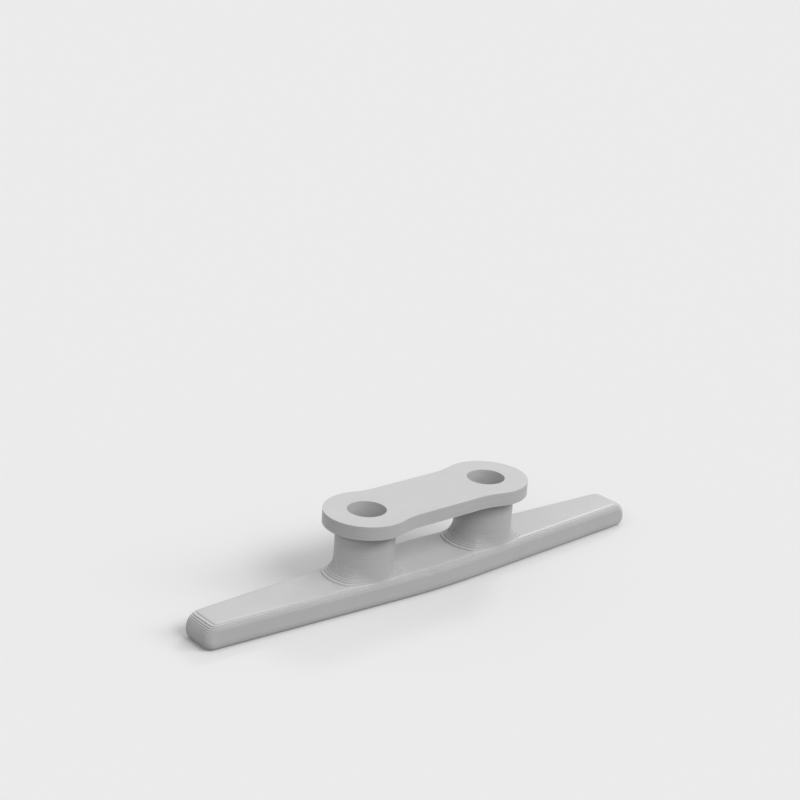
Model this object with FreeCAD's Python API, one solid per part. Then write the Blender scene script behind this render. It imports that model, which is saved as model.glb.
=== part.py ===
import FreeCAD, Part
import math
import os

# A one-piece horn cleat, stood on its horn bar: the bar lies flat on the ground, two round legs
# rise from it, and the waisted base plate that is screwed to a deck is on top.
# All sizes are in millimetres. X runs along the bar, Z is up, and the origin is on the ground
# under the middle of the bar.

# Screw holes, which run down through plate, legs and bar.
hole_spacing = 20.0
hole_diameter = 5.0

# Round legs, each with a hollow flare where it grows out of the bar.
leg_diameter = 7.7
leg_clear_height = 6.6
leg_flare_radius = 2.2

# Base plate: a round lobe that overhangs each leg, joined by a straight waist that is set in from
# the lobes on both sides.
plate_thickness = 1.8
lobe_overhang = 1.7
waist_inset = 0.8
waist_blend_radius = 10.0

# Horn bar: widest in the middle, where it stands out past the legs on both sides, with straight
# tapers out to blunt tips.
bar_length = 70.5
bar_thickness = 3.4
bar_side_margin = 0.7
bar_tip_width = 5.2
bar_middle_arc_radius = 100.0
long_edge_round = 1.0

# Tips: the ground edge is rounded a little more than the long edges, and the top edge takes all of
# the end but a narrow upright band.
tip_ground_extra = 0.25
tip_end_band = 0.15

lobe_diameter = leg_diameter + 2 * lobe_overhang
waist_width = lobe_diameter - 2 * waist_inset
bar_middle_width = leg_diameter + 2 * bar_side_margin
tip_ground_round = long_edge_round + tip_ground_extra
tip_top_round = bar_thickness - tip_ground_round - tip_end_band
plate_bottom = bar_thickness + leg_clear_height
plate_top = plate_bottom + plate_thickness
leg_start = bar_thickness / 2
leg_positions = (-hole_spacing / 2, hole_spacing / 2)

ground_point = FreeCAD.Vector(0, 0, 0)
along_bar = FreeCAD.Vector(1, 0, 0)
across_bar = FreeCAD.Vector(0, 1, 0)
upward = FreeCAD.Vector(0, 0, 1)
tolerance = 1e-4


def point_on_circle(centre, radius, angle):
    """The point of a level circle at an angle turned from +X."""
    step = FreeCAD.Vector(math.cos(angle), math.sin(angle), 0)
    return centre + step * radius


def arc_edge(centre, radius, start_angle, end_angle):
    """A level arc between two angles."""
    start = point_on_circle(centre, radius, start_angle)
    middle = point_on_circle(centre, radius, (start_angle + end_angle) / 2)
    end = point_on_circle(centre, radius, end_angle)
    return Part.Arc(start, middle, end).toShape()


def face_from_quarter(quarter_edges):
    """A level face from the part of its outline that lies in +X and +Y."""
    half_edges = quarter_edges + [edge.mirror(ground_point, across_bar) for edge in quarter_edges]
    edges = half_edges + [edge.mirror(ground_point, along_bar) for edge in half_edges]
    return Part.Face(Part.Wire(Part.sortEdges(edges)[0]))


def bar_outline():
    """Plan of the horn bar: a gentle arc across the middle runs into a straight taper."""
    tip_corner = FreeCAD.Vector(bar_length / 2, bar_tip_width / 2, 0)
    tip_middle = FreeCAD.Vector(bar_length / 2, 0, 0)
    arc_centre = FreeCAD.Vector(0, bar_middle_width / 2 - bar_middle_arc_radius, 0)
    to_corner = tip_corner - arc_centre
    corner_angle = math.atan2(to_corner.y, to_corner.x)
    touch_angle = corner_angle + math.acos(bar_middle_arc_radius / to_corner.Length)
    touch_point = point_on_circle(arc_centre, bar_middle_arc_radius, touch_angle)
    return face_from_quarter([
        arc_edge(arc_centre, bar_middle_arc_radius, math.pi / 2, touch_angle),
        Part.makeLine(touch_point, tip_corner),
        Part.makeLine(tip_corner, tip_middle),
    ])


def plate_outline():
    """Plan of the base plate: a hollow arc runs from the waist into each round lobe."""
    lobe_radius = lobe_diameter / 2
    lobe_centre = FreeCAD.Vector(hole_spacing / 2, 0, 0)
    blend_y = waist_width / 2 + waist_blend_radius
    blend_run = math.sqrt((lobe_radius + waist_blend_radius) ** 2 - blend_y ** 2)
    blend_centre = FreeCAD.Vector(lobe_centre.x - blend_run, blend_y, 0)
    join_angle = math.atan2(blend_y, -blend_run)
    waist_start = FreeCAD.Vector(0, waist_width / 2, 0)
    waist_end = FreeCAD.Vector(blend_centre.x, waist_width / 2, 0)
    return face_from_quarter([
        Part.makeLine(waist_start, waist_end),
        arc_edge(blend_centre, waist_blend_radius, -math.pi / 2, join_angle - math.pi),
        arc_edge(lobe_centre, lobe_radius, join_angle, 0),
    ])


def is_level(edge):
    return edge.BoundBox.ZLength < tolerance


def is_tip_edge(edge):
    """Whether an edge runs across the bar in the plane of one of its ends."""
    box = edge.BoundBox
    return box.XLength < tolerance and abs(box.Center.x) > bar_length / 2 - tolerance


def is_long_wall(face):
    """Whether a face is part of the upright front or back of the bar."""
    facing = face.normalAt(*face.Surface.parameter(face.CenterOfMass))
    return abs(facing.z) < tolerance and abs(facing.y) > abs(facing.x)


def distance_to_leg(point):
    """The level distance from a point to the axis of the nearer leg."""
    return min(math.hypot(point.x - leg_x, point.y) for leg_x in leg_positions)


def is_foot_edge(edge):
    """Whether an edge runs round the foot of a leg, where it meets the bar."""
    leg_radius = leg_diameter / 2
    below_plate = edge.BoundBox.ZMax < plate_bottom - tolerance
    leg_distances = [distance_to_leg(point) for point in edge.discretize(3)]
    return below_plate and all(abs(run - leg_radius) < tolerance for run in leg_distances)


def make_bar():
    """The horn bar: its tips are rounded first, then all its long edges in one run."""
    bar = bar_outline().extrude(upward * bar_thickness).removeSplitter()
    tip_edges = [edge for edge in bar.Edges if is_level(edge) and is_tip_edge(edge)]
    top_edges = [edge for edge in tip_edges if edge.BoundBox.ZMin > leg_start]
    bar = bar.makeFillet(tip_top_round, top_edges)
    tip_edges = [edge for edge in bar.Edges if is_level(edge) and is_tip_edge(edge)]
    ground_edges = [edge for edge in tip_edges if edge.BoundBox.ZMax < tolerance]
    bar = bar.makeFillet(tip_ground_round, ground_edges)
    walls = [face for face in bar.Faces if is_long_wall(face)]
    wall_edges = [edge for wall in walls for edge in wall.Edges]
    return bar.makeFillet(long_edge_round, [edge for edge in wall_edges if is_level(edge)])


def add_legs(body):
    """Stand the two legs on the bar and run a hollow flare round the foot of each."""
    for leg_x in leg_positions:
        start = FreeCAD.Vector(leg_x, 0, leg_start)
        leg = Part.makeCylinder(leg_diameter / 2, plate_bottom - leg_start, start, upward)
        body = body.fuse(leg)
    body = body.removeSplitter()
    return body.makeFillet(leg_flare_radius, [edge for edge in body.Edges if is_foot_edge(edge)])


def make_plate():
    outline = plate_outline()
    outline.translate(upward * plate_bottom)
    return outline.extrude(upward * plate_thickness)


def make_cleat():
    body = add_legs(make_bar()).fuse(make_plate())
    for leg_x in leg_positions:
        hole_start = FreeCAD.Vector(leg_x, 0, 0)
        body = body.cut(Part.makeCylinder(hole_diameter / 2, plate_top, hole_start, upward))
    return body.removeSplitter()


cleat = make_cleat()
os.makedirs("parts", exist_ok=True)
cleat.exportStep("parts/cleat.step")
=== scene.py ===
import bpy
import bmesh
import math
from mathutils import Matrix, Vector


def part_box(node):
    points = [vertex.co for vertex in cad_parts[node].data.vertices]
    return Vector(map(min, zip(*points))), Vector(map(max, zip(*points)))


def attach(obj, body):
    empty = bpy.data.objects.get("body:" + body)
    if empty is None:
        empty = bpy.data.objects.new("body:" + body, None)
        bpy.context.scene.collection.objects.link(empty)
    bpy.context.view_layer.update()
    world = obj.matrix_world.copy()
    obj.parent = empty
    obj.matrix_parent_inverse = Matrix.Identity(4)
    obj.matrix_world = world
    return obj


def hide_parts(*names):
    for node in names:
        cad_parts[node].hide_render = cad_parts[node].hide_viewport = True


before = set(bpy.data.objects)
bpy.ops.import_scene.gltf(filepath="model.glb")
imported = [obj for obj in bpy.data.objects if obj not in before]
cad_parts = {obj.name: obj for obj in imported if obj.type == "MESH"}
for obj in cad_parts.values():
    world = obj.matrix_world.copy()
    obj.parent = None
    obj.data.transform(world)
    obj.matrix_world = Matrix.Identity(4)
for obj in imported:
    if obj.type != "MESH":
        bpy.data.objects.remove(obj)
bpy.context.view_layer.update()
print("frame loaded")


# shader sums: a link is one output socket, and Python operators add the Math nodes
class ShaderLink:
    def __init__(self, tree, socket=None):
        self.tree = tree
        self.socket = socket

    def add(self, kind, settings=None, inputs=None, output=0):
        node = self.tree.nodes.new(kind)
        for name, value in (settings or {}).items():
            setattr(node, name, value)
        for name, value in (inputs or {}).items():
            if isinstance(value, ShaderLink):
                self.tree.links.new(value.socket, node.inputs[name])
            else:
                node.inputs[name].default_value = value
        return ShaderLink(self.tree, node.outputs[output] if node.outputs else None)

    def maths(self, operation, first, second=0.0):
        return self.add("ShaderNodeMath", {"operation": operation}, {0: first, 1: second})

    def __add__(self, other):
        return self.maths("ADD", self, other)

    def __radd__(self, other):
        return self.maths("ADD", other, self)

    def __sub__(self, other):
        return self.maths("SUBTRACT", self, other)

    def __rsub__(self, other):
        return self.maths("SUBTRACT", other, self)

    def __mul__(self, other):
        return self.maths("MULTIPLY", self, other)

    def __rmul__(self, other):
        return self.maths("MULTIPLY", other, self)

    def __truediv__(self, other):
        return self.maths("DIVIDE", self, other)

    def __rtruediv__(self, other):
        return self.maths("DIVIDE", other, self)


def emptyNodes(owner):
    owner.use_nodes = True
    owner.node_tree.nodes.clear()
    return ShaderLink(owner.node_tree)


def greyColour(level):
    return (level, level, level, 1.0)


def addObject(name, data):
    added = bpy.data.objects.new(name, data)
    bpy.context.scene.collection.objects.link(added)
    return added


def addMeshObject(name, work):
    mesh = bpy.data.meshes.new(name)
    work.to_mesh(mesh)
    work.free()
    return addObject(name, mesh)


# the printed skin: the solid's own shape, cut into layers and turned into a staircase
skin = {
    "layerHeight": 0.0002,
    "barTop": 0.0034,         # the rim just under this level stays smooth
    "cutGap": 0.000002,       # half the band at the middle of a layer that becomes its upright wall
    "cutTolerance": 1e-9,
    "mergeDistance": 0.0000002,
    "flatAngle": 0.3,         # degrees: faces that meet at less than this are one wall
    "uprightLimit": 0.002,    # the most that an upright wall's normal may rise or fall
    "sharpAngle": 35.0,       # degrees
}


def steppedHeight(height, layer):
    if skin["barTop"] - layer / 2 < height < skin["barTop"]:
        return height
    index = math.floor(height / layer)
    aboveMiddle = height > (index + 0.5) * layer
    return (index + aboveMiddle) * layer


def isWallSlant(edge):
    # an edge that runs across a flat upright wall: without it the wall is cut in whole strips
    flatAngle = math.radians(skin["flatAngle"])
    if len(edge.link_faces) != 2 or edge.calc_face_angle(1.0) > flatAngle:
        return False
    rise = abs(edge.verts[0].co.z - edge.verts[1].co.z)
    leansAcross = edge.calc_length() - rise > skin["mergeDistance"]
    upright = all(abs(face.normal.z) < skin["uprightLimit"] for face in edge.link_faces)
    return leansAcross and upright


def cutLayers(work, layerCount, layer):
    # two cuts close together at the middle of each layer
    for index in range(layerCount):
        middle = (index + 0.5) * layer
        for height in (middle - skin["cutGap"], middle + skin["cutGap"]):
            everything = work.verts[:] + work.edges[:] + work.faces[:]
            bmesh.ops.bisect_plane(work, geom=everything, dist=skin["cutTolerance"],
                                   plane_co=(0, 0, height), plane_no=(0, 0, 1))


def makeSkin(node):
    layer = skin["layerHeight"]
    layerCount = round(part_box("cleat")[1][2] / layer)
    work = bmesh.new()
    work.from_mesh(node.data)
    bmesh.ops.remove_doubles(work, verts=work.verts, dist=skin["mergeDistance"])
    slants = [edge for edge in work.edges if isWallSlant(edge)]
    bmesh.ops.dissolve_edges(work, edges=slants, use_verts=False, use_face_split=False)
    cutLayers(work, layerCount, layer)
    for vert in work.verts:
        vert.co.z = steppedHeight(vert.co.z, layer)
    bmesh.ops.remove_doubles(work, verts=work.verts, dist=skin["mergeDistance"])
    bmesh.ops.dissolve_degenerate(work, dist=skin["mergeDistance"], edges=work.edges)
    bmesh.ops.triangulate(work, faces=work.faces)
    for face in work.faces:
        face.smooth = True
    piece = addMeshObject("cleatSkin", work)
    # the solid's own normals no longer fit the steps
    piece.data.attributes.remove(piece.data.attributes["custom_normal"])
    piece.data.set_sharp_from_angle(angle=math.radians(skin["sharpAngle"]))
    print("skin:", layerCount, "layers,", len(piece.data.polygons), "triangles")
    return piece


# satin grey filament: every layer a touch lighter or darker, cloudy mottling, and on the upright
# walls a fine dark groove where two layers meet, plus painted shade that darkens every upright wall
plastic = {
    "shadeGrey": 0.38,
    "lightGrey": 0.63,
    "plainShare": 0.80,       # of the way from shade to light, before what follows is added
    "topFaceShift": 0.02,     # of a layer: the top face of a layer counts with it
    "layerShare": 0.12,       # how far apart two layers' tones may be
    "mottleShare": 0.25,
    "mottleScale": 260.0,
    "mottleDetail": 4.0,
    "mottleRoughness": 0.6,
    "wallPaintedShade": 0.20,        # painted shade: taken off every upright wall so that it renders darker than the tops
    "grooveShare": 0.16,
    "grooveWidth": 0.45,      # of a layer, on each side of the joint
    "grooveDepth": 0.000006,
    "grainScale": 9000.0,
    "grainDetail": 2.0,
    "grainDepth": 0.000008,
    "roughness": 0.33,
    "roughnessSpread": 0.10,
    "specular": 0.3,
}


def makePlastic():
    material = bpy.data.materials.new("greyPrintPlastic")
    links = emptyNodes(material)
    place = links.add("ShaderNodeTexCoord", output="Object")
    facing = links.add("ShaderNodeTexCoord", output="Normal")
    height = links.add("ShaderNodeSeparateXYZ", None, {"Vector": place}, output="Z")
    lift = links.add("ShaderNodeSeparateXYZ", None, {"Vector": facing}, output="Z")
    upright = 1.0 - lift * lift
    layers = height / skin["layerHeight"] - plastic["topFaceShift"]
    # 0 in the middle of a layer, 0.5 at its joints
    toJoint = links.maths("ABSOLUTE", links.maths("FRACT", layers) - 0.5)
    groove = links.add("ShaderNodeMapRange", {"interpolation_type": "SMOOTHSTEP"}, {
        "Value": toJoint,
        "From Min": 0.5 - plastic["grooveWidth"],
        "From Max": 0.5,
    })
    layerNoise = links.add("ShaderNodeTexWhiteNoise", {"noise_dimensions": "1D"}, {
        "W": links.maths("FLOOR", layers),
    })
    mottleNoise = links.add("ShaderNodeTexNoise", None, {
        "Vector": place,
        "Scale": plastic["mottleScale"],
        "Detail": plastic["mottleDetail"],
        "Roughness": plastic["mottleRoughness"],
    })
    grain = links.add("ShaderNodeTexNoise", None, {
        "Vector": place,
        "Scale": plastic["grainScale"],
        "Detail": plastic["grainDetail"],
    })
    # noise runs from 0 to 1, so that 0.5 less has it swing about nothing
    layerSwing = layerNoise - 0.5
    mottle = mottleNoise - 0.5
    tone = plastic["plainShare"] + layerSwing * plastic["layerShare"]
    tone = tone + mottle * plastic["mottleShare"]
    # painted shade: a fixed share darkens every upright wall, on top of the dark groove at each layer
    # joint
    tone = tone - upright * (plastic["wallPaintedShade"] + groove * plastic["grooveShare"])
    # 0 is this node's factor, 6 and 7 are its two colours and 2 the mixed one
    colour = links.add("ShaderNodeMix", {"data_type": "RGBA"}, {
        0: tone,
        6: greyColour(plastic["shadeGrey"]),
        7: greyColour(plastic["lightGrey"]),
    }, output=2)
    relief = links.add("ShaderNodeBump", None, {
        "Height": grain * plastic["grainDepth"] - upright * groove * plastic["grooveDepth"],
        "Distance": 1.0,
        "Strength": 1.0,
    })
    shader = links.add("ShaderNodeBsdfPrincipled", None, {
        "Base Color": colour,
        "Roughness": plastic["roughness"] + mottle * plastic["roughnessSpread"],
        "Specular IOR Level": plastic["specular"],
        "Normal": relief,
    })
    links.add("ShaderNodeOutputMaterial", None, {"Surface": shader})
    print("plastic made")
    return material


cleatSkin = makeSkin(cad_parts["cleat"])
cleatSkin.data.materials.append(makePlastic())
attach(cleatSkin, "root")
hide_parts("cleat")


# pale floor that runs out of sight, and a world of the same tone behind it
studio = {
    "floorSize": 40.0,
    "floorGrey": 0.83,        # as the camera sees it
    "bounceGrey": 0.10,       # as it lights the part from below
    "backgroundGrey": 0.83,
    "ambient": 0.475,
}


def seenDirectly(links):
    # 1 where the camera sees it, also by a reflection or through glass
    path = "ShaderNodeLightPath"
    inMirror = links.add(path, output="Is Glossy Ray")
    throughGlass = links.add(path, output="Is Transmission Ray")
    return links.add(path, output="Is Camera Ray") + inMirror + throughGlass


def makeFloor():
    work = bmesh.new()
    bmesh.ops.create_grid(work, x_segments=1, y_segments=1, size=studio["floorSize"] / 2)
    floor = addMeshObject("floor", work)
    material = bpy.data.materials.new("paleFloor")
    links = emptyNodes(material)
    pale = links.add("ShaderNodeBsdfDiffuse", None, {"Color": greyColour(studio["floorGrey"])})
    dull = links.add("ShaderNodeBsdfDiffuse", None, {"Color": greyColour(studio["bounceGrey"])})
    mixed = links.add("ShaderNodeMixShader", None, {"Fac": seenDirectly(links), 1: dull, 2: pale})
    links.add("ShaderNodeOutputMaterial", None, {"Surface": mixed})
    floor.data.materials.append(material)
    print("floor made")


def makeWorld():
    world = bpy.data.worlds.new("studioWorld")
    bpy.context.scene.world = world
    links = emptyNodes(world)
    light = links.add("ShaderNodeBackground", None, {
        "Color": greyColour(1.0),
        "Strength": studio["ambient"],
    })
    backdrop = links.add("ShaderNodeBackground", None, {
        "Color": greyColour(studio["backgroundGrey"]),
        "Strength": 1.0,
    })
    mixed = links.add("ShaderNodeMixShader", None, {"Fac": seenDirectly(links), 1: light, 2: backdrop})
    links.add("ShaderNodeOutputWorld", None, {"Surface": mixed})
    print("world made")


# soft lamps far away, with their angles in degrees
lamps = {
    "front": {"energy": 0.79, "azimuth": 2.0, "elevation": 45.0, "spread": 24.0},
    "rightFront": {"energy": 0.50, "azimuth": 32.0, "elevation": 45.0, "spread": 24.0},
    "rightFrontLow": {"energy": 0.50, "azimuth": 45.0, "elevation": 30.0, "spread": 24.0},
    "leftFront": {"energy": 0.40, "azimuth": -48.0, "elevation": 30.0, "spread": 24.0},
    "left": {"energy": 0.15, "azimuth": -92.0, "elevation": 38.0, "spread": 20.0},
    "rightBack": {"energy": 0.34, "azimuth": 118.0, "elevation": 38.0, "spread": 12.0},
}


def directionTowards(azimuth, elevation):
    # azimuth 0 is the front (-Y) and 90 the right (+X)
    turn, lift = math.radians(azimuth), math.radians(elevation)
    level = math.cos(lift)
    return Vector((math.sin(turn) * level, -math.cos(turn) * level, math.sin(lift)))


def makeLamp(name, values):
    data = bpy.data.lights.new(name, "SUN")
    data.energy = values["energy"]
    data.angle = math.radians(values["spread"])
    lamp = addObject(name, data)
    towardsLamp = directionTowards(values["azimuth"], values["elevation"])
    lamp.rotation_euler = towardsLamp.to_track_quat("Z", "Y").to_euler()
    lamp.location = towardsLamp
    print("lamp placed:", name)


# camera solved from the plate, the holes and the bar's edges in the photograph
photoCamera = {
    "location": (-0.144267, -0.159571, 0.102543),
    "azimuth": -40.961,       # degrees, as for the lamps
    "elevation": 20.036,
    "roll": 3.800,
    "lens": 82.10,
    "sensorWidth": 36.0,
    "farthestSeen": 100.0,
}


def makeCamera():
    back = directionTowards(photoCamera["azimuth"], photoCamera["elevation"])
    level = directionTowards(photoCamera["azimuth"] + 90.0, 0.0)
    upright = back.cross(level)
    roll = math.radians(photoCamera["roll"])
    right = level * math.cos(roll) + upright * math.sin(roll)
    up = upright * math.cos(roll) - level * math.sin(roll)
    data = bpy.data.cameras.new("photoCamera")
    data.lens = photoCamera["lens"]
    data.sensor_width = photoCamera["sensorWidth"]
    data.clip_end = photoCamera["farthestSeen"]
    camera = addObject("photoCamera", data)
    place = Matrix((right, up, back)).transposed().to_4x4()
    place.translation = Vector(photoCamera["location"])
    camera.matrix_world = place
    bpy.context.scene.camera = camera
    print("camera placed")


makeFloor()
makeWorld()
for lampName, lampValues in lamps.items():
    makeLamp(lampName, lampValues)
makeCamera()
bpy.context.scene.view_settings.view_transform = "Standard"
